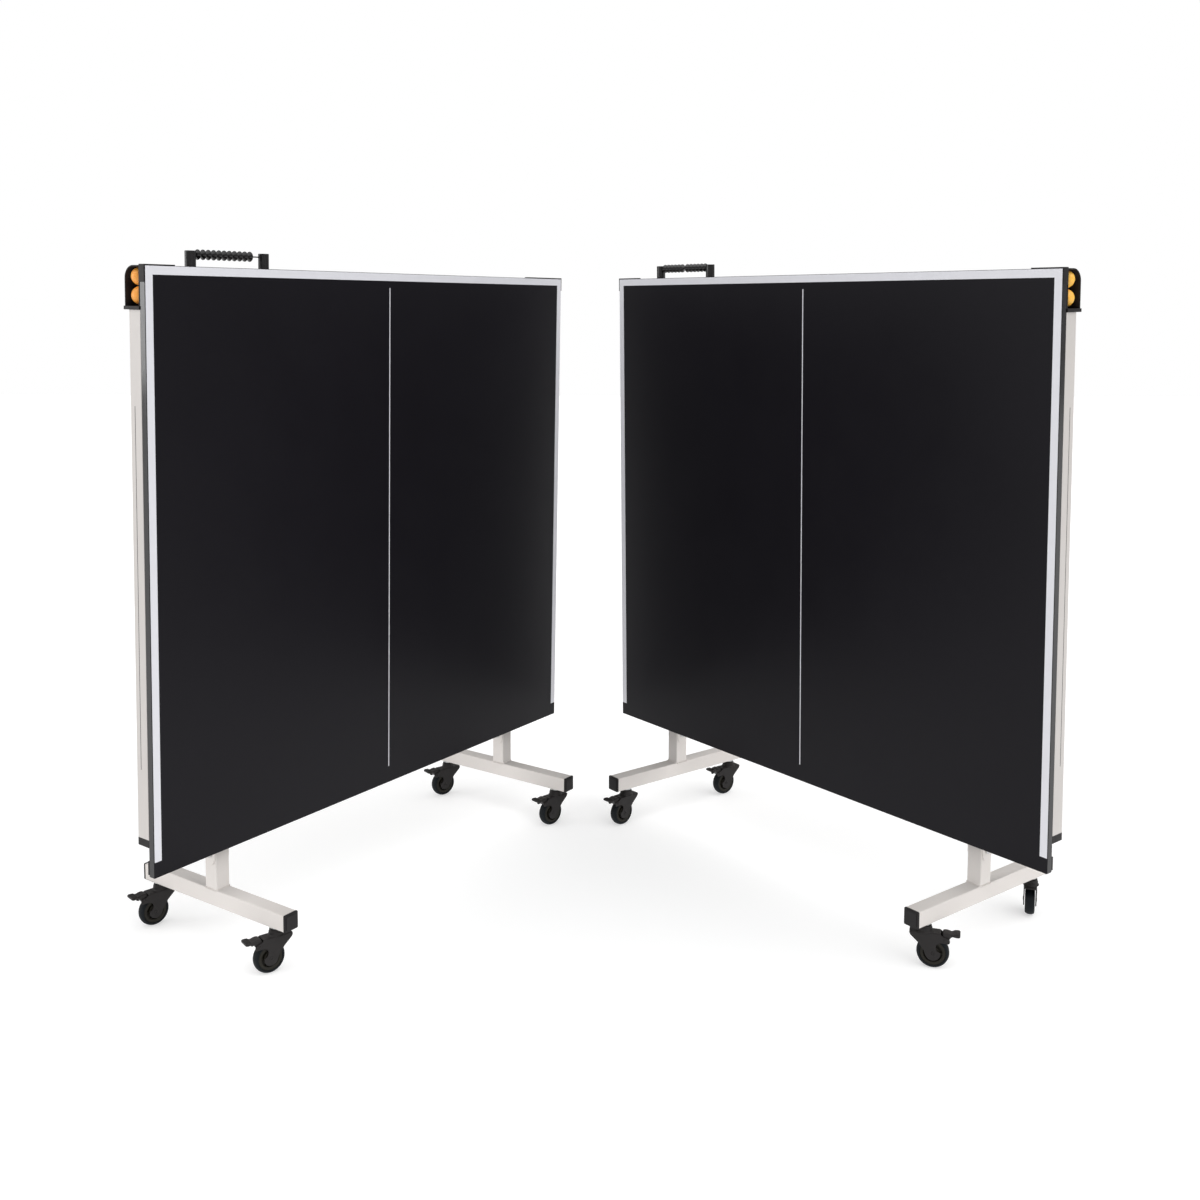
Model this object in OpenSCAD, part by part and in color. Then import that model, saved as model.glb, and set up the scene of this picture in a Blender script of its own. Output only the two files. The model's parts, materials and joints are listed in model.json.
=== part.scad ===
// Ping pong table in two rolling halves, stored upright and standing in a V.
// Each half: a playing top that tilts on a wheeled trolley, a leg frame that stays upright
// on two link bars, four braked casters, ball holders and a bead scorer.

/* [Playing top] */
// Width of a half top, along the net
top_w = 1525; // [1250:5:1850]
// Length of a half top, from the net edge to the player's end
top_l = 1370; // [1150:5:1650]
// Thickness of the board
board_t = 18; // [12:1:28]
// Height of the playing surface over the floor when the top is down
play_h = 760; // [650:5:920]
// Forward lean of the stored top, in degrees
lean = 1; // [0:0.25:2]
// Distance of the tilt pivots from the net edge
pivot_s = 455; // [380:5:520]
// Distance of the leg hinges from the player's end
leg_inset = 114; // [90:1:160]
// Drop of every top hinge under the playing surface
hinge_drop = 52; // [48:1:70]

/* [Rails under the top] */
// Depth of the side, end and net rails
rail_d = 38; // [25:1:45]
// Width of the side, end and net rails
rail_w = 25; // [20:1:35]
// Depth of the two long stiffeners
stiffener_d = 20; // [12:1:24]
// Wall of every square tube
wall = 2; // [1.5:0.5:4]

/* [Trolley] */
// Half the distance between the two feet, middle to middle
foot_u = 550; // [460:5:620]
// Length of a foot with its end caps
foot_l = 510; // [430:5:620]
// Side of the square foot and post tubes
tube = 40; // [32:1:48]
// Half the distance between the two caster stems of one foot
stem_y = 210; // [180:5:215]
// Distance by which the two stems of a foot sit behind its middle
stem_shift = 7; // [-10:1:10]
// Depth of a black foot end cap
cap_t = 6; // [3:1:12]

/* [Standing in a V] */
// Half the open space between the ends of the two post lines
stand_gap = 144.36; // [110:0.01:270]
// Angle by which each half is turned from the longest side, in degrees
splay = 53.8; // [45:0.1:65]
// Place of the middle of the V to the right of the middle of the floor plan
stand_mid = 14.1; // [-30:0.1:30]
// Place of the two post lines behind the middle of the floor plan
stand_y = 17.9; // [0:0.1:30]
// Space between the two net edges when both tops are down
net_gap = 2; // [1:0.5:10]

/* [Casters] */
// Diameter of the wheel
wheel_d = 75; // [60:1:80]
// Width of the tyre
wheel_w = 24; // [18:1:28]
// Height of a whole caster, floor to foot
caster_h = 108; // [104:1:130]
// Distance of the wheel behind the swivel axis
trail = 20; // [14:1:26]
// Radius of the swivel stem
stem_r = 6; // [4:0.5:8]
// Radius of the wheel axle
axle_r = 4; // [3:0.5:5]

/* [Leg frame and links] */
// Half the distance between the two legs, middle to middle
leg_u = 480; // [400:5:485]
// Width of a leg tube, along the net
leg_w = 40; // [30:1:44]
// Depth of a leg tube
leg_d = 25; // [20:1:30]
// Clearance under the leg feet when the top is down
foot_clear = 1.5; // [1:0.5:6]
// Offset of the link pivots behind and below the hinges
link_off = 45; // [40:1:60]
// Width of a link bar
link_w = 25; // [18:1:30]
// Thickness of a link bar
link_t = 6; // [4:1:8]
// Radius of the hinge bolts
bolt_r = 6; // [4:0.5:8]
// Radius of the link pins
pin_r = 4; // [3:0.5:6]

/* [Ball holders and scorer] */
// Diameter of a ball
ball_d = 40; // [38:0.5:42]
// Depth of a ball holder behind the board
holder_d = 51; // [48:1:60]
// Length of a ball holder along the side
holder_l = 96; // [92:1:110]
// Distance of the first scorer post from the middle of the table
scorer_a = 611; // [560:1:640]
// Distance of the second scorer post from the middle of the table
scorer_b = 396; // [360:1:420]
// Height of the scorer posts over the player's edge
scorer_h = 36.5; // [30:0.5:50]
// Diameter of a bead
bead_d = 24; // [18:0.5:28]
// Length of a bead
bead_l = 15.2; // [10:0.1:15.5]

/* [Fits] */
// Radial clearance of a turning or sliding fit
run = 0.06; // [0.02:0.01:0.1]
// Radial clearance of the open link pivots
open_run = 0.5; // [0.4:0.1:1]
// Space between neighbours that move past each other
gap = 1.5; // [1:0.25:3]

/* [Hidden] */
$fn = 64;

LEFT = -1;
RIGHT = 1;
SIDES = [-1, 1];

// Heights and lengths that follow from the sizes above
pivot_z = play_h - hinge_drop;
foot_top = caster_h + tube;
leg_reach = top_l - leg_inset - pivot_s;
leg_l = pivot_z - foot_clear;
post_over = tube / 2;
edge_u = top_w / 2;
stand_x = stand_gap + edge_u * cos(splay);

// Ears, plates and lugs of the hinges
ear_t = 4;
ear_r = 16;
plate_t = 3;
plate_half = 40;
lug_t = 6;
lug_low = 30;
lug_deep = 15;
head_t = 4;
plate_side = 8;

// Planes of one side's link bar, between the post and the leg
link_u = (foot_u - tube / 2 + leg_u + leg_w / 2) / 2;
link_space = link_u - leg_u - leg_w / 2 - lug_t - link_t / 2;

// Plug of a foot end cap inside its tube
cap_plug = 12;

// Crossbars between the posts
crossbar_h = 30;
crossbar_d = 20;
crossbar_z = [foot_top + 272, pivot_z - link_off - lug_low - crossbar_h / 2 - gap];
strap_t = 2.5;
strap_w = 34;
strap_low = foot_top + 61;
strap_high = foot_top + 160;
strap_bolt_z = foot_top + 88;
leg_bar = 25;
leg_bar_rise = 106;
leg_foot_h = 12;

// Rails: each keeps clear of the posts, the legs and the ball holders
rail_start = 85;
rail_end_cap = 18;
holder_w = 46;
holder_wall = 3;
holder_lip = 8;
holder_round = 28;
lip_proud = 2;
net_rail_s = 100;
stiffener_u = 250;
stiffener_w = 30;
end_rail_s = top_l - 18;
rail_gap = 10;

// Corner pads
pad_t = 2.5;
pad_side = 36;
pad_top = 80;
pad_top_long = 160;
net_pad_w = 27;
net_pad_l = 32;
net_pad_t = 5;
net_pad_inset = 4;

// Balls in a holder
ball_row = top_l - ball_d / 2 - 3.5;
ball_step = ball_d + 1.5;
ball_side = 0.5;
ball_rise = 1;

// Scorer
scorer_r = 12.5;
scorer_t = board_t + rail_d / 2 + 1;
wire_r = 1.5;
wire_drop = 8.5;
bead_neck = 0.42;
beads_one = 11;
beads_half = 6;

// Caster parts
cup_r = 18;
cup_z = 84;
cup_h = 17.5;
collar_r = 15;
spacer_r = stem_r + 3;
spacer_h = 3;
fork_plate = 2.5;
fork_gap = 1.5;
brake_x = trail + 28;
brake_z = wheel_d / 2 + 35.5;
brake_hub_r = 6;
brake_pin_r = axle_r - 1;
brake_toe = 33;
toe_l = 18;
toe_over = 4;
toe_h = 4.5;
pedal_gap = 1;
pin_proud = 2;
arm_low = 8;
fork_front = 34;
fork_bridge = trail + 15;
hub_r = 15;
hook_r = 12;
headings_left = [162, 168, 167, 162];
headings_right = [275, 268, 36, 124];

// --- Places -------------------------------------------------------------

// A half's own frame: x along the net, y away from the player who faces the stored top
module half(side)
  translate([stand_mid + side * stand_x, stand_y, 0]) rotate([0, 0, -side * splay]) children();

// The top as it lies in play, with the origin on the tilt axis, turned up into storage
module top(side)
  half(side) translate([0, 0, pivot_z]) rotate([90 + lean, 0, 0]) children();

// A place on the top: distance from the middle, from the net edge and under the surface
module on_top(u, s, t) translate([u, s - pivot_s, hinge_drop - t]) children();

// The leg frame's own frame, on the leg hinges of the stored top
module legs(side)
  half(side)
    translate([0, -leg_reach * sin(lean), pivot_z + leg_reach * cos(lean)]) children();

// Place of the front (-1) or rear (1) caster stem along a foot
function stem_place(end) = end * stem_y + stem_shift;

// A caster's own frame: on the floor under its stem, with the wheel towards +x
module caster(side, i) {
  headings = side == LEFT ? headings_left : headings_right;
  half(side)
    translate([(i < 2 ? -1 : 1) * foot_u, stem_place(i % 2 == 0 ? -1 : 1), 0])
      rotate([0, 0, headings[i]]) children();
}

// --- Shapes -------------------------------------------------------------

module box_mid(size) translate([-size[0] / 2, -size[1] / 2, 0]) cube(size);

module rod_x(r, l) rotate([0, 90, 0]) cylinder(r = r, h = l);

module rod_y(r, l) rotate([-90, 0, 0]) cylinder(r = r, h = l);

module hex_x(r, l) rotate([0, 90, 0]) cylinder(r = r, h = l, $fn = 6);

// Square tube along z with open ends
module tube_z(w, d, h)
  difference() {
    box_mid([w, d, h]);
    translate([0, 0, -1]) box_mid([w - 2 * wall, d - 2 * wall, h + 2]);
  }

module tube_x(l, d, h)
  difference() {
    translate([-l / 2, -d / 2, -h / 2]) cube([l, d, h]);
    translate([-l / 2 - 1, -d / 2 + wall, -h / 2 + wall])
      cube([l + 2, d - 2 * wall, h - 2 * wall]);
  }

module tube_y(l, w, h)
  difference() {
    translate([-w / 2, 0, 0]) cube([w, l, h]);
    translate([-w / 2 + wall, -1, wall]) cube([w - 2 * wall, l + 2, h - 2 * wall]);
  }

// Lug plate that carries a link pin behind and below a hinge, its bore at the pin
module lug(side_dir)
  difference() {
    translate([side_dir > 0 ? 0 : -lug_t, -lug_deep, -link_off - lug_low])
      cube([lug_t, link_off + 2 * lug_deep, link_off]);
    translate([-lug_t - 1, link_off, -link_off]) rod_x(pin_r, 2 * lug_t + 2);
  }

// Bolt through a hinge: shaft, head outside and nut inside
module hinge_bolt(w) {
  reach = w / 2 + gap + ear_t + gap;
  translate([-reach, 0, 0]) rod_x(bolt_r, 2 * reach);
  translate([reach, 0, 0]) hex_x(1.6 * bolt_r, head_t);
  translate([-reach - head_t, 0, 0]) hex_x(1.6 * bolt_r, head_t);
}

// Bolt through the two straps of a post
module strap_bolt() {
  reach = tube / 2 + strap_t;
  translate([-reach, 0, 0]) rod_x(bolt_r, 2 * reach);
  for (x = [reach, -reach - head_t]) translate([x, 0, 0]) hex_x(1.6 * bolt_r, head_t);
}

// Bracket under the top with two ears around a tube of width w
module hinge_bracket(w) {
  ear_in = w / 2 + gap;
  plate_z = hinge_drop - board_t - plate_t;
  translate([0, 0, plate_z]) box_mid([2 * (ear_in + ear_t + plate_side), 2 * plate_half, plate_t]);
  for (s = SIDES)
    difference() {
      union() {
        translate([s > 0 ? ear_in : -ear_in - ear_t, -ear_r, 0])
          cube([ear_t, 2 * ear_r, plate_z + plate_t]);
        translate([s > 0 ? ear_in : -ear_in - ear_t, 0, 0]) rod_x(ear_r, ear_t);
      }
      translate([-ear_in - ear_t - 1, 0, 0]) rod_x(bolt_r + run, 2 * (ear_in + ear_t) + 2);
    }
}

// Pin of a link bar: it starts inside its lug and has a spacer collar and a head
module link_pin(dir)
  mirror([dir > 0 ? 0 : 1, 0, 0]) {
    translate([-lug_t, 0, 0]) rod_x(pin_r, lug_t + link_space + link_t + gap);
    rod_x(pin_r + 2.5, link_space - gap);
    translate([link_space + link_t + gap, 0, 0]) rod_x(pin_r + 3.5, head_t - 1);
  }

// --- Trolley ------------------------------------------------------------

module t_legs(side)
  color([0.93, 0.92, 0.90])
    half(side)
      for (s = SIDES) {
        translate([s * foot_u, -(foot_l / 2 - cap_t), caster_h])
          difference() {
            tube_y(foot_l - 2 * cap_t, tube, tube);
            for (y = SIDES)
              translate([0, foot_l / 2 - cap_t + stem_place(y), -1])
                cylinder(r = stem_r, h = wall + 2);
          }
        translate([s * foot_u, 0, 0])
          difference() {
            translate([0, 0, foot_top])
              tube_z(tube, tube, pivot_z + post_over - foot_top);
            for (z = [pivot_z, strap_bolt_z]) translate([-tube, 0, z]) rod_x(bolt_r, 2 * tube);
          }
        translate([s * (foot_u - tube / 2), 0, pivot_z]) lug(-s);
      }

module foot_caps(side)
  color([0.07, 0.07, 0.075])
    half(side)
      for (s = SIDES, e = SIDES)
        translate([s * foot_u, e * (foot_l / 2 - cap_t), caster_h]) mirror([0, e < 0 ? 1 : 0, 0]) {
          translate([-tube / 2, 0, 0]) cube([tube, cap_t, tube]);
          translate([-tube / 2 + wall, -cap_plug, wall])
            cube([tube - 2 * wall, cap_plug, tube - 2 * wall]);
        }

// Two bars between the posts: the lower one ends in straps that grip both sides of a post
module crossbars(side)
  color([0.93, 0.92, 0.90])
    half(side) {
      bar_l = 2 * foot_u - tube;
      translate([0, crossbar_d / 2, crossbar_z[1]]) tube_x(bar_l, crossbar_d, crossbar_h);
      translate([0, crossbar_d / 2, crossbar_z[0]])
        tube_x(bar_l - 2 * strap_t, crossbar_d, crossbar_h);
      for (s = SIDES)
        mirror([s < 0 ? 1 : 0, 0, 0]) {
          translate([foot_u - tube / 2 - strap_t, 0, 0])
            strap(crossbar_z[0] + crossbar_h / 2 - strap_low);
          translate([foot_u + tube / 2, 0, 0]) strap(strap_high - strap_low);
        }
    }

// Flat strap on a side of a post, round at its low end, with a hole for its bolt
module strap(h)
  difference() {
    union() {
      translate([0, -strap_w / 2, strap_low + strap_w / 2]) cube([strap_t, strap_w, h - strap_w / 2]);
      translate([0, 0, strap_low + strap_w / 2]) rod_x(strap_w / 2, strap_t);
    }
    translate([-1, 0, strap_bolt_z]) rod_x(bolt_r, strap_t + 2);
  }

module trolley_bolts(side)
  color([0.45, 0.45, 0.46])
    half(side) {
      for (s = SIDES) {
        translate([s * foot_u, 0, pivot_z]) hinge_bolt(tube);
        translate([s * foot_u, 0, strap_bolt_z]) strap_bolt();
        translate([s * (foot_u - tube / 2 - lug_t), link_off, pivot_z - link_off]) link_pin(-s);
        for (y = SIDES)
          translate([s * foot_u, stem_place(y), 0]) {
            translate([0, 0, cup_z - spacer_h - 1]) cylinder(r = spacer_r, h = spacer_h);
            translate([0, 0, cup_z - 2]) cylinder(r = stem_r, h = caster_h + wall - cup_z + 2);
            translate([0, 0, cup_z + cup_h + gap])
              cylinder(r = collar_r, h = caster_h - cup_z - cup_h - gap);
          }
      }
    }

// --- Top ----------------------------------------------------------------

module board(side)
  color([0.10, 0.10, 0.11])
    top(side) on_top(-edge_u, 0, board_t) cube([top_w, top_l, board_t]);

module rails(side)
  color([0.86, 0.86, 0.86])
    top(side) {
      side_l = top_l - holder_l - rail_start;
      inner_u = edge_u - holder_w - rail_gap;
      for (s = SIDES) {
        on_top(s * (edge_u - rail_w / 2), rail_start, board_t + rail_d)
          tube_y(side_l, rail_w, rail_d);
        on_top(s * stiffener_u, net_rail_s + rail_w + rail_gap, board_t + stiffener_d)
          tube_y(end_rail_s - net_rail_s - 2 * (rail_w + rail_gap), stiffener_w, stiffener_d);
      }
      on_top(0, end_rail_s - rail_w / 2, board_t + rail_d / 2) tube_x(2 * inner_u, rail_w, rail_d);
      on_top(0, net_rail_s + rail_w / 2, board_t + rail_d / 4)
        tube_x(2 * (leg_u - leg_w), rail_w, rail_d / 2);
    }

// Pad over a top corner, with a strip of the given length on the player's edge
module corner_pad(strip) {
  on_top(0, top_l - pad_side, board_t) cube([pad_t, pad_side + pad_t, board_t]);
  on_top(-strip, top_l, board_t) cube([strip + pad_t, pad_t, board_t]);
}

module corner_fittings(side)
  color([0.07, 0.07, 0.075])
    top(side)
      for (s = SIDES) {
        strip = side == LEFT && s > 0 ? pad_top_long : pad_top;
        mirror([s < 0 ? 1 : 0, 0, 0]) {
          translate([edge_u, 0, 0]) corner_pad(strip);
          on_top(edge_u - rail_w, rail_start - rail_end_cap, board_t + rail_d)
            cube([rail_w, rail_end_cap, rail_d]);
          on_top(edge_u - net_pad_w, net_pad_inset, board_t + net_pad_t)
            cube([net_pad_w, net_pad_l, net_pad_t]);
        }
      }

// Side outline of a ball holder, rounded at its outer top corner
module holder_outline(inset) {
  r = holder_round - inset;
  difference() {
    translate([inset, inset]) square([holder_l - 2 * inset, holder_d - 2 * inset]);
    translate([holder_l - holder_round, 0])
      difference() {
        square([holder_round + 1, holder_round]);
        translate([0, holder_round]) circle(r = r);
      }
  }
}

module ball_holders(side)
  color([0.07, 0.07, 0.075])
    top(side)
      for (s = SIDES)
        mirror([s < 0 ? 1 : 0, 0, 0]) {
          on_top(edge_u - holder_w, top_l - holder_l, board_t + holder_d)
            rotate([90, 0, 90])
              difference() {
                linear_extrude(holder_w + 1) holder_outline(0);
                translate([0, 0, holder_wall]) linear_extrude(holder_w) holder_outline(holder_wall);
              }
          on_top(edge_u - holder_w, top_l - holder_l, board_t + holder_d + lip_proud)
            cube([holder_w + 1 + lip_proud, holder_lip, holder_d + lip_proud]);
        }

module balls(side)
  color([0.96, 0.62, 0.22])
    top(side)
      for (s = SIDES, i = [0, 1])
        on_top(s * (edge_u - ball_d / 2 - ball_side), ball_row - ball_step * i,
               board_t + holder_wall + ball_rise + ball_d / 2)
          sphere(d = ball_d);

module scorer_posts(side)
  color([0.08, 0.08, 0.085])
    top(side) {
      for (u = [scorer_a, scorer_b])
        on_top(-u, end_rail_s, scorer_t)
          rod_y(scorer_r, top_l - end_rail_s + scorer_h);
      on_top(-scorer_a, top_l + scorer_h - wire_drop, scorer_t)
        rod_x(wire_r, scorer_a - scorer_b);
    }

// A row of beads on the wire, from the given place towards the middle of the table
module bead_row(side, start, count)
  color([0.08, 0.08, 0.085])
    top(side)
      on_top(start, top_l + scorer_h - wire_drop, scorer_t)
        rotate([0, 90, 0])
          for (i = [0 : count - 1])
            translate([0, 0, i * bead_l]) rotate_extrude() bead_profile();

module bead_profile() {
  hole = wire_r + run;
  neck = bead_neck * bead_d / 2;
  rim = bead_d / 2;
  polygon([[hole, 0], [neck, 0], [rim - 0.8, bead_l * 0.42], [rim, bead_l / 2],
           [rim - 0.8, bead_l * 0.58], [neck, bead_l], [hole, bead_l]]);
}

module beads(side) bead_row(side, -scorer_a + scorer_r, side == LEFT ? beads_one : beads_half);

module far_beads(side)
  bead_row(side, -scorer_b - scorer_r - beads_half * bead_l, beads_half);

module top_brackets(side)
  color([0.86, 0.86, 0.86])
    top(side)
      for (s = SIDES) {
        translate([s * foot_u, 0, 0]) hinge_bracket(tube);
        translate([s * leg_u, leg_reach, 0]) hinge_bracket(leg_w);
      }

// --- Leg frame and links --------------------------------------------------

module play_legs(side)
  color([0.93, 0.92, 0.90])
    legs(side)
      for (s = SIDES) {
        translate([s * leg_u, 0, -leg_l + leg_foot_h])
          difference() {
            tube_z(leg_w, leg_d, leg_l - leg_foot_h + leg_d / 2);
            translate([-leg_w, 0, leg_l - leg_foot_h]) rod_x(bolt_r, 2 * leg_w);
          }
        translate([s * (leg_u + leg_w / 2), 0, 0]) lug(s);
      }

module leg_crossbar(side)
  color([0.93, 0.92, 0.90])
    legs(side)
      translate([0, (leg_d + leg_bar) / 2, leg_bar_rise - leg_l])
        tube_x(2 * leg_u + leg_w, leg_bar, leg_bar);

module leg_feet(side)
  color([0.07, 0.07, 0.075])
    legs(side)
      for (s = SIDES)
        translate([s * leg_u, 0, -leg_l]) {
          translate([0, 0, leg_foot_h / 2]) box_mid([leg_w, leg_d, leg_foot_h / 2]);
          cylinder(r = leg_d / 2, h = leg_foot_h / 2);
        }

module leg_bolts(side)
  color([0.45, 0.45, 0.46])
    legs(side)
      for (s = SIDES) {
        translate([s * leg_u, 0, 0]) hinge_bolt(leg_w);
        translate([s * (leg_u + leg_w / 2 + lug_t), link_off, -link_off]) link_pin(s);
      }

module link_bars(side)
  color([0.75, 0.75, 0.76])
    half(side)
      for (s = SIDES)
        translate([s * link_u - link_t / 2, link_off, pivot_z - link_off]) rotate([lean, 0, 0])
          difference() {
            union() {
              translate([0, -link_w / 2, 0]) cube([link_t, link_w, leg_reach]);
              rod_x(link_w / 2, link_t);
              translate([0, 0, leg_reach]) rod_x(link_w / 2, link_t);
            }
            translate([-1, 0, 0]) rod_x(pin_r + run, link_t + 2);
            translate([-1, 0, leg_reach]) rod_x(pin_r + open_run, link_t + 2);
          }

// --- Casters --------------------------------------------------------------

// Side outline of a fork plate: from the head down to the hub, with a hooked arm for the brake
module fork_outline() {
  hub_z = wheel_d / 2;
  arm_z = brake_z - arm_low;
  difference() {
    polygon([[-fork_front, cup_z + fork_plate], [-fork_front, cup_z - 2], [trail - hub_r, hub_z - 4],
             [trail, hub_z - hub_r / 2], [trail + hub_r - 2, hub_z - 4],
             [trail + 22, hub_z + 4], [trail + 22, arm_z], [brake_x + 9, arm_z],
             [brake_x + 10, brake_z + 2], [fork_bridge + 2, cup_z],
             [fork_bridge, cup_z + fork_plate]]);
    translate([trail + 22, arm_z - hook_r]) circle(r = hook_r);
  }
  translate([trail, hub_z]) circle(r = hub_r);
}

module fork(side, i)
  color([0.12, 0.12, 0.125])
    caster(side, i) {
      plate_y = wheel_w / 2 + fork_gap;
      difference() {
        union() {
          translate([0, 0, cup_z]) cylinder(r = cup_r, h = cup_h);
          translate([-fork_front, -plate_y - fork_plate, cup_z])
            cube([fork_front + fork_bridge, 2 * (plate_y + fork_plate), fork_plate]);
          for (y = [-plate_y, plate_y + fork_plate])
            translate([0, y, 0]) rotate([90, 0, 0]) linear_extrude(fork_plate) fork_outline();
        }
        translate([0, 0, cup_z - 5]) cylinder(r = stem_r + run, h = cup_h + 10);
      }
      for (p = [[trail, wheel_d / 2, axle_r], [brake_x, brake_z, brake_pin_r]])
        translate([p[0], -plate_y - fork_plate - pin_proud, p[1]])
          rod_y(p[2], 2 * (plate_y + fork_plate + pin_proud));
    }

// Half section of a wheel: hub, groove, rim ring and tyre
module wheel_profile() {
  w = wheel_w / 2;
  r = wheel_d / 2;
  polygon([[axle_r + run, -w], [0.42 * r, -w], [0.46 * r, -w + 1], [0.46 * r, -w + 5],
           [0.56 * r, -w + 5], [0.58 * r, -w + 1.5], [0.8 * r, -w + 1.5], [0.82 * r, -w + 0.5],
           [0.92 * r, -w + 1], [0.985 * r, -w + 5], [r, -w + 8], [r, w - 8], [0.985 * r, w - 5],
           [0.92 * r, w - 1], [0.82 * r, w - 0.5], [0.8 * r, w - 1.5], [0.58 * r, w - 1.5],
           [0.56 * r, w - 5], [0.46 * r, w - 5], [0.46 * r, w - 1], [0.42 * r, w],
           [axle_r + run, w]]);
}

module wheel(side, i)
  color([0.08, 0.085, 0.09])
    caster(side, i)
      translate([trail, 0, wheel_d / 2]) rotate([90, 0, 0]) rotate_extrude($fn = 96) wheel_profile();

// Side outline of the brake pedal over its pivot, ending in the toe
module pedal_outline() {
  circle(r = brake_hub_r);
  polygon([[-brake_hub_r - 1, 21], [brake_toe - toe_l - 4, 15], [brake_toe, 15], [brake_toe, 11],
           [brake_toe - toe_l - 2, 10], [brake_hub_r, 0], [-brake_hub_r, 0]]);
}

module brake(side, i)
  color([0.10, 0.10, 0.105])
    caster(side, i)
      translate([brake_x, 0, brake_z])
        difference() {
          body_w = wheel_w + 2 * (fork_gap - pedal_gap);
          toe_w = wheel_w + 2 * toe_over;
          union() {
            translate([0, body_w / 2, 0]) rotate([90, 0, 0]) linear_extrude(body_w) pedal_outline();
            translate([brake_toe - toe_l, -toe_w / 2, 15 - toe_h]) cube([toe_l, toe_w, toe_h]);
          }
          translate([0, -wheel_w, 0]) rod_y(brake_pin_r + run, 2 * wheel_w);
        }

t_legs(LEFT);  // t_legs_left
foot_caps(LEFT);  // foot_caps_left
crossbars(LEFT);  // crossbars_left
trolley_bolts(LEFT);  // trolley_bolts_left
board(LEFT);  // board_left
rails(LEFT);  // rails_left
corner_fittings(LEFT);  // corner_fittings_left
ball_holders(LEFT);  // ball_holders_left
balls(LEFT);  // balls_left
scorer_posts(LEFT);  // scorer_posts_left
beads(LEFT);  // beads_left
top_brackets(LEFT);  // top_brackets_left
play_legs(LEFT);  // play_legs_left
leg_crossbar(LEFT);  // leg_crossbar_left
leg_feet(LEFT);  // leg_feet_left
leg_bolts(LEFT);  // leg_bolts_left
link_bars(LEFT);  // link_bars_left
fork(LEFT, 0);  // fork_left_1
fork(LEFT, 1);  // fork_left_2
fork(LEFT, 2);  // fork_left_3
fork(LEFT, 3);  // fork_left_4
wheel(LEFT, 0);  // wheel_left_1
wheel(LEFT, 1);  // wheel_left_2
wheel(LEFT, 2);  // wheel_left_3
wheel(LEFT, 3);  // wheel_left_4
brake(LEFT, 0);  // brake_left_1
brake(LEFT, 1);  // brake_left_2
brake(LEFT, 2);  // brake_left_3
brake(LEFT, 3);  // brake_left_4
t_legs(RIGHT);  // t_legs_right
foot_caps(RIGHT);  // foot_caps_right
crossbars(RIGHT);  // crossbars_right
trolley_bolts(RIGHT);  // trolley_bolts_right
board(RIGHT);  // board_right
rails(RIGHT);  // rails_right
corner_fittings(RIGHT);  // corner_fittings_right
ball_holders(RIGHT);  // ball_holders_right
balls(RIGHT);  // balls_right
scorer_posts(RIGHT);  // scorer_posts_right
beads(RIGHT);  // beads_right
far_beads(RIGHT);  // far_beads_right
top_brackets(RIGHT);  // top_brackets_right
play_legs(RIGHT);  // play_legs_right
leg_crossbar(RIGHT);  // leg_crossbar_right
leg_feet(RIGHT);  // leg_feet_right
leg_bolts(RIGHT);  // leg_bolts_right
link_bars(RIGHT);  // link_bars_right
fork(RIGHT, 0);  // fork_right_1
fork(RIGHT, 1);  // fork_right_2
fork(RIGHT, 2);  // fork_right_3
fork(RIGHT, 3);  // fork_right_4
wheel(RIGHT, 0);  // wheel_right_1
wheel(RIGHT, 1);  // wheel_right_2
wheel(RIGHT, 2);  // wheel_right_3
wheel(RIGHT, 3);  // wheel_right_4
brake(RIGHT, 0);  // brake_right_1
brake(RIGHT, 1);  // brake_right_2
brake(RIGHT, 2);  // brake_right_3
brake(RIGHT, 3);  // brake_right_4
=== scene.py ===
"""Looks of a ping pong table in two rolling halves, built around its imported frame."""

import json
import math

import bmesh
import bpy
from bpy.props import FloatProperty, FloatVectorProperty, IntProperty, PointerProperty
from mathutils import Matrix, Vector


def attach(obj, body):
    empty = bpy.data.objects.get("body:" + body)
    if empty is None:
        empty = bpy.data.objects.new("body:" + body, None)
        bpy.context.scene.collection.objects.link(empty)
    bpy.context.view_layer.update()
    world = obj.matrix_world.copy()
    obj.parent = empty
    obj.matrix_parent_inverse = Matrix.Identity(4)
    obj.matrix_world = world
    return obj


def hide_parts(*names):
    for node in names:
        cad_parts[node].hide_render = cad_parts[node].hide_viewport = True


bl_info = {
    "name": "Ping Pong Table",
    "version": (1, 0, 0),
    "blender": (4, 5, 0),
    "location": "View3D > Sidebar > Ping Pong Table",
    "description": "Builds the looks of a rolling ping pong table around its packed frame",
    "category": "Object",
}

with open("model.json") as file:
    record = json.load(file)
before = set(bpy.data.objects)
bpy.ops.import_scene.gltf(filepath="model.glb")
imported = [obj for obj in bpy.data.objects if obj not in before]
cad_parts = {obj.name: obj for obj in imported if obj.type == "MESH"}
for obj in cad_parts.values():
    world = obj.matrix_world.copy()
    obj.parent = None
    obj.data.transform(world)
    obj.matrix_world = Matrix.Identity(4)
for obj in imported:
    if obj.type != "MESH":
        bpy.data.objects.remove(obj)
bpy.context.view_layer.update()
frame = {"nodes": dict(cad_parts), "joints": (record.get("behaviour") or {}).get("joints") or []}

MM = 0.001
ON_AXIS = 1e-6
UP = Vector((0, 0, 1))
SIDES = (-1, 1)
HALVES = ("left", "right")
CASTERS = (1, 2, 3, 4)


# --- Sizes and colours a user would change ------------------------------------


def length(name, description, default):
    """A size in metres, shown with its unit."""
    return FloatProperty(name=name, description=description, default=default,
                         min=0.0, unit="LENGTH", subtype="DISTANCE", precision=5)


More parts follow.
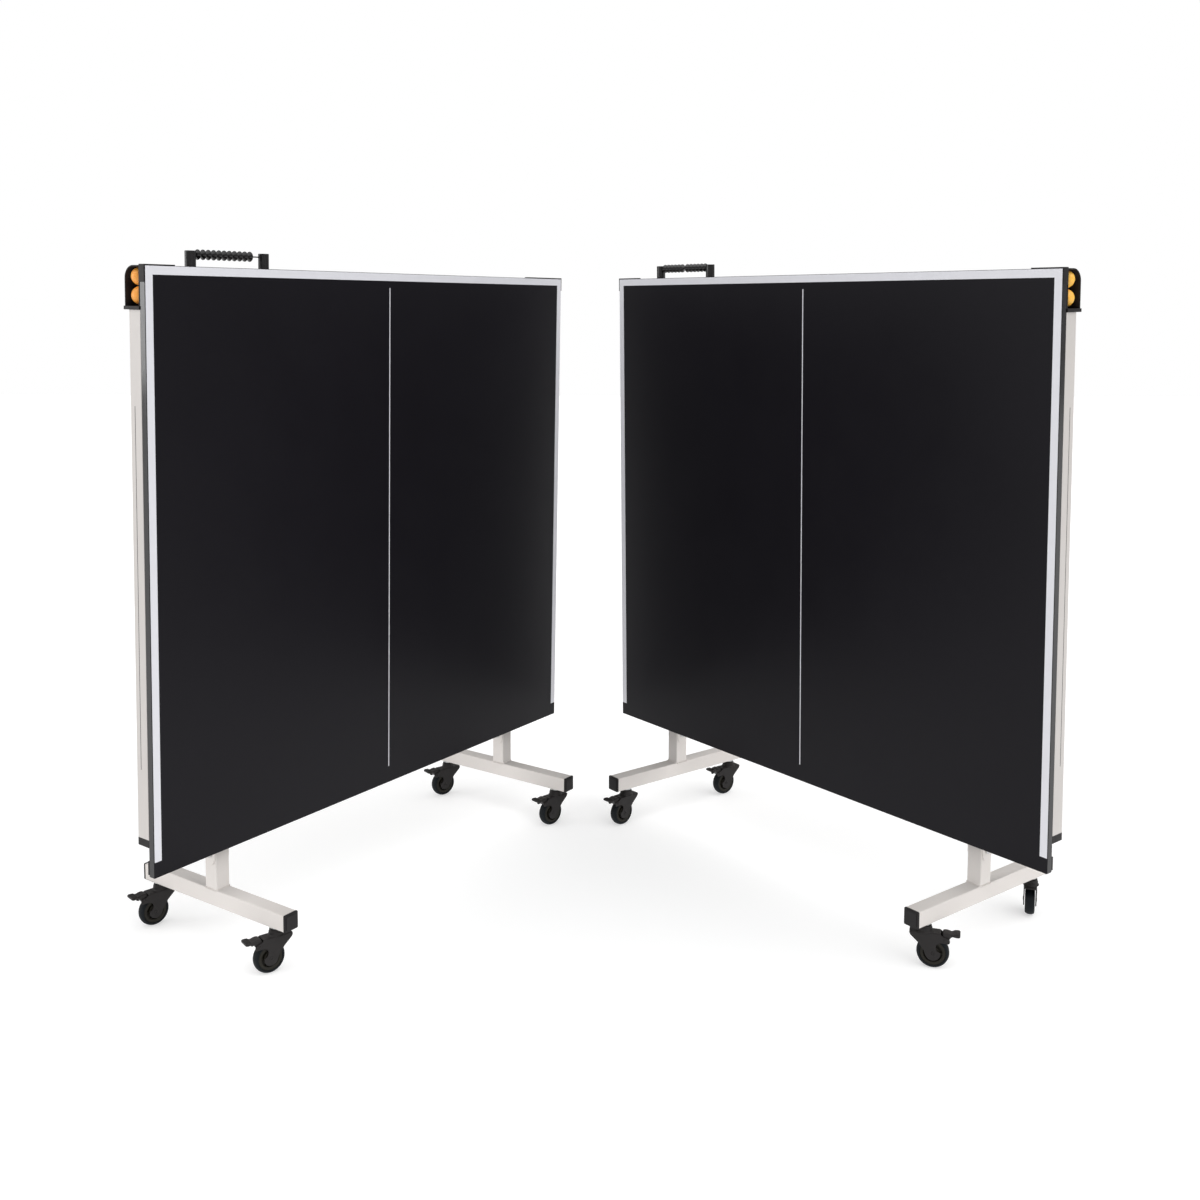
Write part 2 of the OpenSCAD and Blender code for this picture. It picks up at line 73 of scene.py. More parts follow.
def colour(name, description, red, green, blue):
    """A linear colour with a swatch in the panel."""
    return FloatVectorProperty(name=name, description=description, size=3, min=0.0, max=1.0,
                               default=(red, green, blue), subtype="COLOR")


class TopSizes(bpy.types.PropertyGroup):
    """Sizes of the playing top and its lines."""

    line: length("Line width", "Width of the side lines and the end line", 0.020)
    centre_line: length("Centre line width", "Width of the line down the middle", 0.003)
    line_stop: length("Side line end", "Bare stretch between a side line and the net edge", 0.037)
    centre_start: length("Centre line start", "Bare stretch at the net edge", 0.045)
    centre_end: length("Centre line end", "Bare stretch at the player's end", 0.038)
    paint: length("Paint thickness", "How far a line stands over the board", 0.00015)
    board_edge: length("Board edge", "Rounding of the board's edges", 0.0010)
    band: length("Edge band", "Thickness of the band on the board's long edges", 0.0003)
    stripe: length("Rail stripe", "Width of the dark stripe along a side rail", 0.0016)
    stripe_start: length("Rail stripe start", "Distance of the stripe's foot from the net edge",
                         0.245)
    stripe_end: length("Rail stripe end", "Distance of the stripe's top from the net edge", 1.064)
    stripe_depth: length("Rail stripe depth", "Distance of the stripe behind the board", 0.023)


class TubeSizes(bpy.types.PropertyGroup):
    """Sizes of the tubes, their welds and their screws."""

    corner: length("Tube corner", "Rounding of the long corners of a tube", 0.0028)
    edge: length("Cut edge", "Rounding of cut edges and holes", 0.0004)
    weld: length("Weld radius", "Half the width of a weld bead", 0.0024)
    weld_pitch: length("Weld ripple pitch", "Distance between two ripples of a weld", 0.0017)
    screw: length("Screw head radius", "Radius of the fixing screws' heads", 0.0042)


class CasterSizes(bpy.types.PropertyGroup):
    """Sizes of the caster details."""

    plate_edge: length("Pressed edge", "Rounding of the fork's pressed edges", 0.0007)
    plate_bend: length("Bend radius", "Rounding of the bends at the fork's head", 0.0032)
    ribs: IntProperty(name="Pedal ribs", description="Number of grip ribs on the toe of a pedal",
                      default=4, min=0, max=12)
    steps: IntProperty(name="Wheel steps", description="Number of steps round a wheel",
                       default=96, min=24, max=192)


class ScorerSizes(bpy.types.PropertyGroup):
    """Sizes of the bead scorer."""

    post_edge: length("Post edge", "Rounding of a post's top edge", 0.0012)
    bead_steps: IntProperty(name="Bead steps", description="Number of steps round a bead",
                            default=40, min=12, max=96)


class Colours(bpy.types.PropertyGroup):
    """Colours of the finishes."""

    board: colour("Board", "Charcoal lacquer of the playing surface", 0.0075, 0.0068, 0.0092)
    line: colour("Lines", "White paint of the lines", 0.72, 0.72, 0.76)
    frame: colour("Frame", "Off-white coat of the trolley and the legs", 0.72, 0.68, 0.65)
    rail: colour("Rails", "Silvery coat of the rails and the brackets", 0.56, 0.53, 0.51)
    plastic: colour("Black plastic", "Caps, pads and ball holders", 0.0125, 0.0112, 0.0118)
    scorer: colour("Scorer", "Shiny plastic of the posts and the beads", 0.0065, 0.0058, 0.0062)
    edge: colour("Board edge", "Shiny band along the sides of the board", 0.0075, 0.0070, 0.0085)
    ball: colour("Orange balls", "Balls of the left half", 0.86, 0.36, 0.055)
    # the right half's balls: a lighter, yellower copy of the orange ball colour, with the brighter
    # light on the right half painted into it
    ball_yellow: colour("Yellow balls", "Balls of the right half", 0.95, 0.52, 0.075)
    tyre: colour("Tyre", "Rubber of the tread", 0.0045, 0.0065, 0.0085)
    rim: colour("Rim", "Dark olive plastic of the wheel's rim", 0.013, 0.0115, 0.0075)
    fork: colour("Fork", "Black coat of the forks and the pedals", 0.0175, 0.0155, 0.0155)
    zinc: colour("Zinc", "Plated bolts, nuts and pins", 0.52, 0.54, 0.57)
    steel: colour("Bare steel", "Galvanised link bars", 0.56, 0.56, 0.57)


class StageSizes(bpy.types.PropertyGroup):
    """Camera, floor and lights."""

    camera: FloatVectorProperty(name="Camera", description="Place of the camera", size=3,
                                default=(-0.1052, -3.5377, 1.5300), unit="LENGTH",
                                subtype="TRANSLATION")
    heading: FloatProperty(name="Heading", description="Turn of the camera towards +X",
                           default=math.radians(1.085), unit="ROTATION", subtype="ANGLE")
    pitch: FloatProperty(name="Pitch", description="Fall of the line of sight",
                         default=math.radians(5.374), unit="ROTATION", subtype="ANGLE")
    roll: FloatProperty(name="Roll", description="Turn of the camera about its line of sight",
                        default=math.radians(0.16), unit="ROTATION", subtype="ANGLE")
    lens: FloatProperty(name="Lens", description="Focal length in millimetres", default=40.10)
    shift: FloatVectorProperty(name="Shift", description="Lens shift", size=2,
                               default=(0.0196, -0.1375))
    floor: length("Floor", "Length and width of the floor", 40.0)
    floor_colour: colour("Floor colour", "Pale floor", 0.62, 0.62, 0.62)
    floor_glow: FloatProperty(name="Floor glow", description="Light of the lit floor panel",
                              default=0.50)
    key: FloatProperty(name="Key light", description="Strength of the soft light on the right",
                       default=1.9)
    left: FloatProperty(name="Left light", description="Strength of the soft light on the left",
                        default=1.0)
    key_spread: FloatProperty(name="Light spread", description="Width of the soft lights",
                              default=math.radians(75.0), unit="ROTATION", subtype="ANGLE")
    fill: FloatProperty(name="Side panel", description="Power of the light panel on the left",
                        default=16.0, unit="POWER")
    sky: FloatProperty(name="Room light", description="Strength of the light from all sides",
                       default=0.42)


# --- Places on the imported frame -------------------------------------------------


def joint(name):
    """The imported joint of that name."""
    return next(j for j in frame["joints"] if j["name"] == name)


def axes(origin, x_axis, y_axis):
    """A place whose x axis is kept and whose y axis is squared to it."""
    x = x_axis.normalized()
    z = x.cross(y_axis).normalized()
    place = Matrix((x, z.cross(x), z)).transposed().to_4x4()
    place.translation = origin
    return place


def box_in(node, place):
    """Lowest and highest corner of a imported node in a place, in millimetres."""
    inverse = place.inverted()
    points = [inverse @ v.co / MM for v in frame["nodes"][node].data.vertices]
    low = Vector([min(p[i] for p in points) for i in range(3)])
    high = Vector([max(p[i] for p in points) for i in range(3)])
    return low, high


class Half:
    """One half of the table and its own places."""

    def __init__(self, side):
        self.side = side
        tilt = joint("top_tilt_" + side)
        along_net = -Vector(tilt["axis"])
        pivot = Vector(tilt["pos_m"])
        hinge = Vector(joint("leg_fold_" + side)["pos_m"])
        depth = UP.cross(along_net)
        self.stand = axes(Vector((pivot.x, pivot.y, 0)), along_net, depth)
        self.legs = axes(hinge, along_net, depth)
        tilted = axes(pivot, along_net, hinge - pivot)
        low, high = box_in("board_" + side, tilted)
        self.top = tilted @ Matrix.Translation(Vector((0, low.y, high.z)) * MM)
        self.edge_u = high.x
        self.top_l = high.y - low.y
        self.board_t = high.z - low.z


def caster_place(name):
    """Place of a caster: on the floor under its stem, with the wheel towards +x."""
    stem = Vector(joint("swivel_" + name)["pos_m"])
    axle = Vector(joint("roll_" + name)["pos_m"])
    trail = Vector((axle.x - stem.x, axle.y - stem.y, 0))
    return axes(Vector((stem.x, stem.y, 0)), trail, UP.cross(trail)), trail.length / MM, axle.z / MM


# --- Shapes, in millimetres in a place ------------------------------------------


def as_mesh(name, bm):
    """The mesh of a shape, which is used up."""
    mesh = bpy.data.meshes.new(name)
    bm.to_mesh(mesh)
    bm.free()
    return mesh


def shown(name, data):
    """A new object in the scene."""
    obj = bpy.data.objects.new(name, data)
    bpy.context.collection.objects.link(obj)
    return obj


def joined(parts):
    """One mesh of several."""
    whole = bmesh.new()
    for part in parts:
        mesh = as_mesh("part", part)
        whole.from_mesh(mesh)
        bpy.data.meshes.remove(mesh)
    return whole


def moved(bm, offset, turn=None):
    """A mesh turned and then moved."""
    if turn:
        bm.transform(turn)
    bm.transform(Matrix.Translation(Vector(offset)))
    return bm


def rounded(bm, radius, steps=2, least=35.0, pick=None):
    """Rounds the outward edges that are sharper than the least angle."""
    sharp = [e for e in bm.edges
             if e.is_manifold and e.is_convex and e.calc_face_angle() > math.radians(least)
             and (pick is None or pick(e))]
    if sharp and radius > 0:
        bmesh.ops.bevel(bm, geom=sharp, offset=radius, offset_type="OFFSET", segments=steps,
                        profile=0.5, affect="EDGES", clamp_overlap=False, miter_outer="ARC")
    return bm


def long_edge(edge):
    """Whether an edge runs along y."""
    return abs((edge.verts[0].co - edge.verts[1].co).y) > 1


def slab(low, high, radius=0.0, steps=2):
    """A box with rounded edges between two opposite corners."""
    bm = bmesh.new()
    size = Vector([abs(b - a) for a, b in zip(low, high)])
    middle = (Vector(high) + Vector(low)) / 2
    bmesh.ops.create_cube(bm, size=1.0, matrix=Matrix.Translation(middle) @ Matrix.Diagonal(
        (size.x, size.y, size.z, 1)))
    return rounded(bm, radius, steps)


def lathe(profile, steps=48, closed=False):
    """A shape round z from points of radius and height.

    The profile starts and ends on the axis, or it is closed and makes a ring.
    """
    bm = bmesh.new()
    turns = [2 * math.pi * i / steps for i in range(steps)]
    rings = [[bm.verts.new((r * math.cos(a), r * math.sin(a), h))
              for a in (turns if r > ON_AXIS else [0.0])] for r, h in profile]
    following = rings[1:] + (rings[:1] if closed else [])
    for below, above in zip(rings, following):
        for i in range(steps):
            j = (i + 1) % steps
            corners = [below[i % len(below)], below[j % len(below)],
                       above[j % len(above)], above[i % len(above)]]
            bm.faces.new(list(dict.fromkeys(corners)))
    bmesh.ops.recalc_face_normals(bm, faces=bm.faces)
    return bm


def lofted(rings):
    """A closed shape through rings of points, capped at both ends."""
    bm = bmesh.new()
    loops = [[bm.verts.new(p) for p in ring] for ring in rings]
    count = len(loops[0])
    for near, far in zip(loops, loops[1:]):
        for i in range(count):
            j = (i + 1) % count
            bm.faces.new((near[i], near[j], far[j], far[i]))
    bm.faces.new(reversed(loops[0]))
    bm.faces.new(loops[-1])
    bmesh.ops.recalc_face_normals(bm, faces=bm.faces)
    return bm


def mirrored(flank):
    """A profile of a round thing with its other flank added, from the near end to the far end."""
    return flank + [(r, -h) for r, h in reversed(flank)]


def arc(x, z, radius, start, end, steps):
    """Points on an arc in x and z, with its angles in degrees."""
    turns = [math.radians(start + (end - start) * i / steps) for i in range(steps + 1)]
    return [(x + radius * math.cos(a), z + radius * math.sin(a)) for a in turns]


def cut(bm, tool):
    """A mesh with another one taken away."""
    blank, cutter = (shown(n, as_mesh(n, part)) for n, part in (("blank", bm), ("tool", tool)))
    taken = blank.modifiers.new("cut", "BOOLEAN")
    taken.operation = "DIFFERENCE"
    taken.solver = "EXACT"
    taken.object = cutter
    result = bmesh.new()
    result.from_mesh(evaluated(blank))
    for obj in (blank, cutter):
        bpy.data.objects.remove(obj)
    bmesh.ops.remove_doubles(result, verts=result.verts, dist=1e-4)
    bmesh.ops.dissolve_limit(result, angle_limit=math.radians(0.2), verts=result.verts,
                             edges=result.edges)
    return result


def evaluated(obj):
    """A plain mesh of an object with its modifiers."""
    bpy.context.view_layer.update()
    graph = bpy.context.evaluated_depsgraph_get()
    return bpy.data.meshes.new_from_object(obj.evaluated_get(graph))


def softened(node, edge, corner=0.0, least_corner=60.0):
    """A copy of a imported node, in metres, with rounded edges and long corners."""
    bm = bmesh.new()
    bm.from_mesh(frame["nodes"][node].data)
    bmesh.ops.remove_doubles(bm, verts=bm.verts, dist=1e-5)
    bmesh.ops.dissolve_limit(bm, angle_limit=math.radians(0.5), verts=bm.verts, edges=bm.edges)
    if corner:
        rounded(bm, corner, 4, pick=lambda e: e.calc_length() > least_corner * MM)
    rounded(bm, edge, 2)
    return bm


# --- Pieces -----------------------------------------------------------------------


def settled(name, bm, finish, body, slot, place=None, replaces=(), sharp=38.0):
    """A finished piece: placed in metres, smooth over its roundings, with its finish and body."""
    if place is not None:
        bm.transform(place @ Matrix.Scale(MM, 4))
    return dressed(name, as_mesh(name, bm), finish, body, slot, replaces, sharp)


def dressed(name, mesh, finish, body, slot, replaces=(), sharp=38.0):
    """A piece from a mesh in metres that is already in place."""
    mesh.shade_smooth()
    mesh.set_sharp_from_angle(angle=math.radians(sharp))
    obj = shown(name, mesh)
    even = obj.modifiers.new("even_faces", "WEIGHTED_NORMAL")
    even.keep_sharp = True
    plain = evaluated(obj)
    plain.name = name
    obj.modifiers.clear()
    obj.data = plain
    bpy.data.meshes.remove(mesh)
    obj.data.materials.clear()
    obj.data.materials.append(finish)
    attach(obj, body)
    if replaces:
        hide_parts(*replaces)
    return obj


def refined(side, name, node, edge, look, body, slot, corner=0.0):
    """A half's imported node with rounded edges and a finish, in place of the plain one."""
    node = f"{node}_{side}"
    return settled(f"{name}_{side}", softened(node, edge, corner), finish(look),
                   f"{body}_{side}", slot, replaces=[node])


# --- Finishes -----------------------------------------------------------------------


def tree_node(tree, kind, inputs=None, **settings):
    """A new node with its settings, and with its inputs linked or set."""
    node = tree.nodes.new(kind)
    for key, value in settings.items():
        setattr(node, key, value)
    for key, value in (inputs or {}).items():
        if isinstance(value, bpy.types.NodeSocket):
            tree.links.new(value, node.inputs[key])
        else:
            node.inputs[key].default_value = value
    return node


class Finish:
    """A material under construction."""

    def __init__(self, name, rough, metallic=0.0, specular=0.5):
        self.material = bpy.data.materials.new(name)
        self.material.use_nodes = True
        self.tree = self.material.node_tree
        self.shader = self.tree.nodes["Principled BSDF"]
        self.shader.inputs["Roughness"].default_value = rough
        self.shader.inputs["Metallic"].default_value = metallic
        self.shader.inputs["Specular IOR Level"].default_value = specular
        self.coords = self.node("ShaderNodeTexCoord").outputs["Object"]

    def node(self, kind, inputs=None, **settings):
        """A new node of this material."""
        return tree_node(self.tree, kind, inputs, **settings)

    def link(self, socket, target):
        """Feeds the shader."""
        self.tree.links.new(socket, self.shader.inputs[target])

    def mapped(self, scale, turn=(0, 0, 0)):
        """Object coordinates, turned and stretched."""
        return self.node("ShaderNodeMapping", {"Vector": self.coords, "Scale": scale,
                                               "Rotation": turn}).outputs["Vector"]

    def noise(self, scale, detail=3.0, roughness=0.55, vector=None):
        """Smooth noise from 0 to 1."""
        return self.node("ShaderNodeTexNoise",
                         {"Vector": vector or self.coords, "Scale": scale, "Detail": detail,
                          "Roughness": roughness}).outputs["Fac"]

    def cells(self, scale):
        """Distance in a pattern of cells."""
        return self.node("ShaderNodeTexVoronoi", {"Vector": self.coords, "Scale": scale}
                         ).outputs["Distance"]

    def ranged(self, value, low, high, start=0.0, end=1.0):
        """A value moved from one range to another."""
        return self.node("ShaderNodeMapRange",
                         {"Value": value, "From Min": start, "From Max": end, "To Min": low,
                          "To Max": high}).outputs["Result"]

    def blend(self, share, first, second):
        """A mix of two colours."""
        return self.node("ShaderNodeMix", {0: share, 6: first, 7: second},
                         data_type="RGBA").outputs[2]

    def tinted(self, share, base, low, high):
        """A base colour that runs from a darker to a lighter tint."""
        dark = tuple(c * low for c in base) + (1,)
        light = tuple(min(1, c * high) for c in base) + (1,)
        return self.blend(share, dark, light)

    def relief(self, height, distance, strength=1.0, below=None):
        """A bump over another one."""
        inputs = {"Height": height, "Distance": distance, "Strength": strength}
        if below:
            inputs["Normal"] = below
        return self.node("ShaderNodeBump", inputs).outputs["Normal"]

    def tone(self, scale, detail, base, low, high):
        """The base colour, with clouds that run from a darker to a lighter tint."""
        self.link(self.tinted(self.noise(scale, detail), base, low, high), "Base Color")

    def sheen(self, scale, detail, low, high):
        """Roughness that drifts between two values."""
        self.link(self.ranged(self.noise(scale, detail), low, high), "Roughness")

    def skin(self, scale, detail, distance, strength, below=None):
        """The outermost relief, from noise."""
        self.link(self.relief(self.noise(scale, detail), distance, strength, below), "Normal")


def lacquer(name, base, rough=0.40):
    """Charcoal lacquer: a fine orange peel and a faint cloud in its sheen."""
    f = Finish(name, rough, specular=0.13)
    f.tone(2.2, 4.0, base, 0.86, 1.16)
    f.sheen(9.0, 4.0, rough - 0.05, rough + 0.07)
    f.skin(90.0, 2.0, 0.00006, 0.35, f.relief(f.noise(620.0, 2.0), 0.00004, 0.5))
    return f.material


def paint(name, base):
    """Line paint: matt, a little uneven, with a soft roller grain."""
    f = Finish(name, 0.5, specular=0.35)
    f.tone(34.0, 4.0, base, 0.965, 1.02)
    f.sheen(120.0, 3.0, 0.42, 0.60)
    f.skin(900.0, 2.0, 0.00003, 0.6)
    return f.material


def coat(name, base, rough=0.42):
    """Powder coat: orange peel, soft clouds and a slightly thinner film in spots."""
    f = Finish(name, rough, specular=0.5)
    specks = f.ranged(f.cells(260.0), 0.0, 1.0, 0.02, 0.09)
    clouds = f.tinted(f.noise(5.5, 4.0), base, 0.955, 1.03)
    dull = tuple(c * 0.88 for c in base) + (1,)
    f.link(f.blend(specks, dull, clouds), "Base Color")
    f.sheen(40.0, 3.0, rough - 0.07, rough + 0.10)
    f.skin(150.0, 2.0, 0.00010, 0.30, f.relief(f.noise(1150.0, 2.5), 0.00006, 0.55))
    return f.material


def moulded(name, base, rough=0.46):
    """Moulded plastic with an eroded grain and rubbed, slightly shinier high spots."""
    f = Finish(name, rough, specular=0.22)
    f.tone(22.0, 4.0, base, 0.80, 1.25)
    f.sheen(60.0, 4.0, rough - 0.10, rough + 0.12)
    waves = f.relief(f.noise(240.0, 3.0), 0.00008, 0.4)
    f.link(f.relief(f.cells(760.0), 0.00009, 0.55, waves), "Normal")
    return f.material


def gloss(name, base):
    """Shiny plastic with faint flow marks and fine handling scratches."""
    f = Finish(name, 0.16, specular=0.55)
    f.tone(45.0, 4.0, base, 0.8, 1.3)
    scratches = f.noise(700.0, 4.0, vector=f.mapped(scale=(1, 1, 0.06), turn=(0.3, 0.4, 0.9)))
    f.link(f.ranged(scratches, 0.10, 0.26, 0.3, 0.75), "Roughness")
    f.skin(120.0, 2.0, 0.00010, 0.25)
    return f.material


def celluloid(name, base):
    """Ball shell: light comes a little way in, and the skin is matt and finely sanded."""
    f = Finish(name, 0.42, specular=0.45)
    f.tone(55.0, 3.0, base, 0.94, 1.05)
    f.shader.inputs["Subsurface Weight"].default_value = 0.18
    f.shader.inputs["Subsurface Radius"].default_value = (0.006, 0.003, 0.001)
    f.shader.inputs["Subsurface Scale"].default_value = 1.0
    f.sheen(300.0, 3.0, 0.34, 0.50)
    f.skin(1700.0, 2.0, 0.00003, 0.5)
    return f.material


def rubber(name, base):
    """Tyre rubber: matt, with a bloom, fine pores and scuffs from the floor."""
    f = Finish(name, 0.62, specular=0.18)
    bloom = f.tinted(f.noise(38.0, 5.0), base, 0.75, 1.5)
    dust = f.ranged(f.noise(150.0, 6.0, 0.7), 0.0, 0.5, 0.58, 0.75)
    f.link(f.blend(dust, bloom, (0.022, 0.021, 0.019, 1)), "Base Color")
    f.sheen(80.0, 4.0, 0.5, 0.75)
    f.skin(1300.0, 3.0, 0.00008, 0.6)
    return f.material


def pressed(name, base, rough=0.46):
    """Black coated pressed steel with a fine peel and rubbed, lighter clouds."""
    f = Finish(name, rough, specular=0.22)
    f.tone(60.0, 5.0, base, 0.78, 1.28)
    f.sheen(90.0, 4.0, rough - 0.10, rough + 0.12)
    f.skin(1000.0, 2.0, 0.00006, 0.55)
    return f.material


def plated(name, base, rough=0.30):
    """Zinc plate: bright metal with a cloudy passivated film and fine turning marks."""
    f = Finish(name, rough, metallic=1.0)
    film = f.ranged(f.noise(140.0, 5.0, 0.65), 0, 1, 0.35, 0.65)
    warm = (base[0] * 1.02, base[1] * 0.97, base[2] * 0.86, 1)
    f.link(f.blend(film, tuple(base) + (1,), warm), "Base Color")
    f.sheen(260.0, 4.0, rough - 0.08, rough + 0.14)
    marks = f.noise(500.0, 3.0, vector=f.mapped(scale=(0.2, 0.2, 3.0)))
    f.link(f.relief(marks, 0.00004, 0.35), "Normal")
    return f.material


def galvanised(name, base):
    """Galvanised strip: spangle cells of slightly different tone and sheen."""
    f = Finish(name, 0.40, metallic=1.0)
    cell = f.node("ShaderNodeTexVoronoi", {"Vector": f.coords, "Scale": 190.0})
    shade = f.node("ShaderNodeSeparateColor", {"Color": cell.outputs["Color"]}).outputs["Red"]
    f.link(f.tinted(shade, base, 0.80, 1.12), "Base Color")
    f.link(f.ranged(shade, 0.30, 0.50), "Roughness")
    f.skin(420.0, 3.0, 0.00005, 0.4)
    return f.material


FINISHES = {
    "board": lacquer,
    "line": paint,
    "frame": coat,
    "rail": coat,
    "plastic": moulded,
    "scorer": gloss,
    "ball": celluloid,
    "ball_yellow": celluloid,
    "edge": gloss,
    "tyre": rubber,
    "rim": moulded,
    "fork": pressed,
    "zinc": plated,
    "steel": galvanised,
}


def finish(name):
    """The finish of that name, made when it is first asked for."""
    label = "table_" + name
    if label not in bpy.data.materials:
        base = tuple(getattr(bpy.context.scene.pingpong_colours, name))
        FINISHES[name](label, base)
    return bpy.data.materials[label]


# --- Repeated details -------------------------------------------------------------


def new_tree(name, *sockets):
    """A geometry tree and its group input, with named inputs, a material and one geometry."""
    tree = bpy.data.node_groups.new(name, "GeometryNodeTree")
    tree.interface.new_socket("Geometry", in_out="OUTPUT", socket_type="NodeSocketGeometry")
    for label, kind in (("Geometry", "Geometry"),) + sockets + (("Finish", "Material"),):
        tree.interface.new_socket(label, in_out="INPUT", socket_type="NodeSocket" + kind)
    return tree, tree_node(tree, "NodeGroupInput").outputs


def closed_tree(tree, material, piece, placing):
    """Ends a tree: its piece on every point, made real geometry, with its material."""
    source = tree_node(tree, "GeometryNodeObjectInfo", {"Object": piece})
    placed = tree_node(tree, "GeometryNodeInstanceOnPoints",
                       {"Instance": source.outputs["Geometry"], **placing})
    real = tree_node(tree, "GeometryNodeRealizeInstances", {"Geometry": placed.outputs[0]})
    painted = tree_node(tree, "GeometryNodeSetMaterial",
                        {"Geometry": real.outputs[0], "Material": material})
    tree_node(tree, "NodeGroupOutput", {"Geometry": painted.outputs[0]})
    return tree


def screw_tree():
    """Screw heads on points, each facing along the point's own direction and turned at random."""
    tree, given = new_tree("Screws on Points", ("Head", "Object"), ("Seed", "Int"))
    facing = tree_node(tree, "GeometryNodeInputNamedAttribute", {"Name": "facing"},
                       data_type="FLOAT_VECTOR")
    aligned = tree_node(tree, "FunctionNodeAlignRotationToVector",
                        {"Vector": facing.outputs["Attribute"]}, axis="Z")
    turn = tree_node(tree, "FunctionNodeRandomValue", {"Seed": given["Seed"], 3: 2 * math.pi},
                     data_type="FLOAT")
    spun = tree_node(tree, "FunctionNodeAxisAngleToRotation",
                     {"Axis": (0, 0, 1), "Angle": turn.outputs[1]})
    both = tree_node(tree, "FunctionNodeRotateRotation",
                     {"Rotation": aligned.outputs[0], "Rotate By": spun.outputs[0]},
                     rotation_space="LOCAL")
    return closed_tree(tree, given["Finish"], given["Head"],
                       {"Points": given["Geometry"], "Rotation": both.outputs[0]})


def weld_tree():
    """Ripples along lines: overlapping flat scales that follow each seam."""
    tree, given = new_tree("Weld Ripples", ("Ripple", "Object"), ("Pitch", "Float"),
                           ("Seed", "Int"))
    seam = tree_node(tree, "GeometryNodeMeshToCurve", {"Mesh": given["Geometry"]})
    points = tree_node(tree, "GeometryNodeCurveToPoints",
                       {"Curve": seam.outputs[0], "Length": given["Pitch"]}, mode="LENGTH")
    size = tree_node(tree, "FunctionNodeRandomValue", {"Seed": given["Seed"], 2: 0.86, 3: 1.12},
                     data_type="FLOAT")
    return closed_tree(tree, given["Finish"], given["Ripple"],
                       {"Points": points.outputs["Points"], "Scale": size.outputs[1],
                        "Rotation": points.outputs["Rotation"]})


def row_tree():
    """Equal pieces in a row, from a first place by a step."""
    tree, given = new_tree("Beads in a Row", ("Bead", "Object"), ("Count", "Int"),
                           ("Start", "Vector"), ("Step", "Vector"))
    row = tree_node(tree, "GeometryNodeMeshLine",
                    {"Count": given["Count"], "Start Location": given["Start"],
                     "Offset": given["Step"]})
    aligned = tree_node(tree, "FunctionNodeAlignRotationToVector",
                        {"Vector": given["Step"]}, axis="Z")
    return closed_tree(tree, given["Finish"], given["Bead"],
                       {"Points": row.outputs[0], "Rotation": aligned.outputs[0]})


def tree_named(name, maker):
    """A geometry tree, made once."""
    return bpy.data.node_groups.get(name) or maker()


def grown(name, mesh, tree, stamp, look, values, *dress):
    """A piece that a geometry tree grows from a mesh, a small repeated shape and named values."""
    label, shape = stamp
    shape.transform(Matrix.Scale(MM, 4))
    source = bpy.data.objects.new(label, as_mesh(label, shape))
    values = {label: source, "Finish": finish(look), **values}
    obj = shown("seed", mesh)
    grower = obj.modifiers.new("grow", "NODES")
    grower.node_group = tree
    for item in tree.interface.items_tree:
        if item.item_type == "SOCKET" and item.in_out == "INPUT" and item.name in values:
            grower[item.identifier] = values[item.name]
    plain = evaluated(obj)
    bpy.data.objects.remove(obj)
    bpy.data.objects.remove(source)
    return dressed(name, plain, finish(look), *dress)


def screw_head(radius):
    """A pan head with a cross recess."""
    dome = lathe([(0, 0.62 * radius), (0.45 * radius, 0.60 * radius), (0.78 * radius, 0.48 * radius),
                  (0.96 * radius, 0.26 * radius), (radius, 0.08 * radius), (radius, -0.2 * radius),
                  (0, -0.2 * radius)], 20)
    arm, half = 0.56 * radius, 0.11 * radius
    for turn in (0.0, math.pi / 2):
        slot = slab((-arm, -half, 0.30 * radius), (arm, half, radius))
        dome = cut(dome, moved(slot, (0, 0, 0), Matrix.Rotation(turn, 4, "Z")))
    return dome


def screws(name, spots, place, body, slot="bolt_steel", seed=1):
    """Screw heads at spots of (point, direction) in a place, as one piece."""
    mesh = bpy.data.meshes.new(name)
    turn = place.to_3x3()
    mesh.from_pydata([place @ (Vector(p) * MM) for p, _ in spots], [], [])
    facing = mesh.attributes.new("facing", "FLOAT_VECTOR", "POINT")
    for i, (_, direction) in enumerate(spots):
        facing.data[i].vector = turn @ Vector(direction)
    head = screw_head(bpy.context.scene.pingpong_tubes.screw / MM)
    return grown(name, mesh, tree_named("Screws on Points", screw_tree), ("Head", head), "zinc",
                 {"Seed": seed}, body, slot)


def welds(name, seams, place, body, slot="frame_coat", seed=3):
    """Weld beads along straight seams in a place, as one piece."""
    tubes = bpy.context.scene.pingpong_tubes
    mesh = bpy.data.meshes.new(name)
    points = [place @ (Vector(p) * MM) for seam in seams for p in seam]
    mesh.from_pydata(points, [(i, i + 1) for i in range(0, len(points), 2)], [])
    r = tubes.weld / MM
    ripple = lathe([(0, -0.42 * r), (0.7 * r, -0.30 * r), (r, 0), (0.72 * r, 0.34 * r),
                    (0, 0.5 * r)], 12)
    return grown(name, mesh, tree_named("Weld Ripples", weld_tree), ("Ripple", ripple), "frame",
                 {"Pitch": tubes.weld_pitch, "Seed": seed}, body, slot)


# --- Operators -----------------------------------------------------------------------


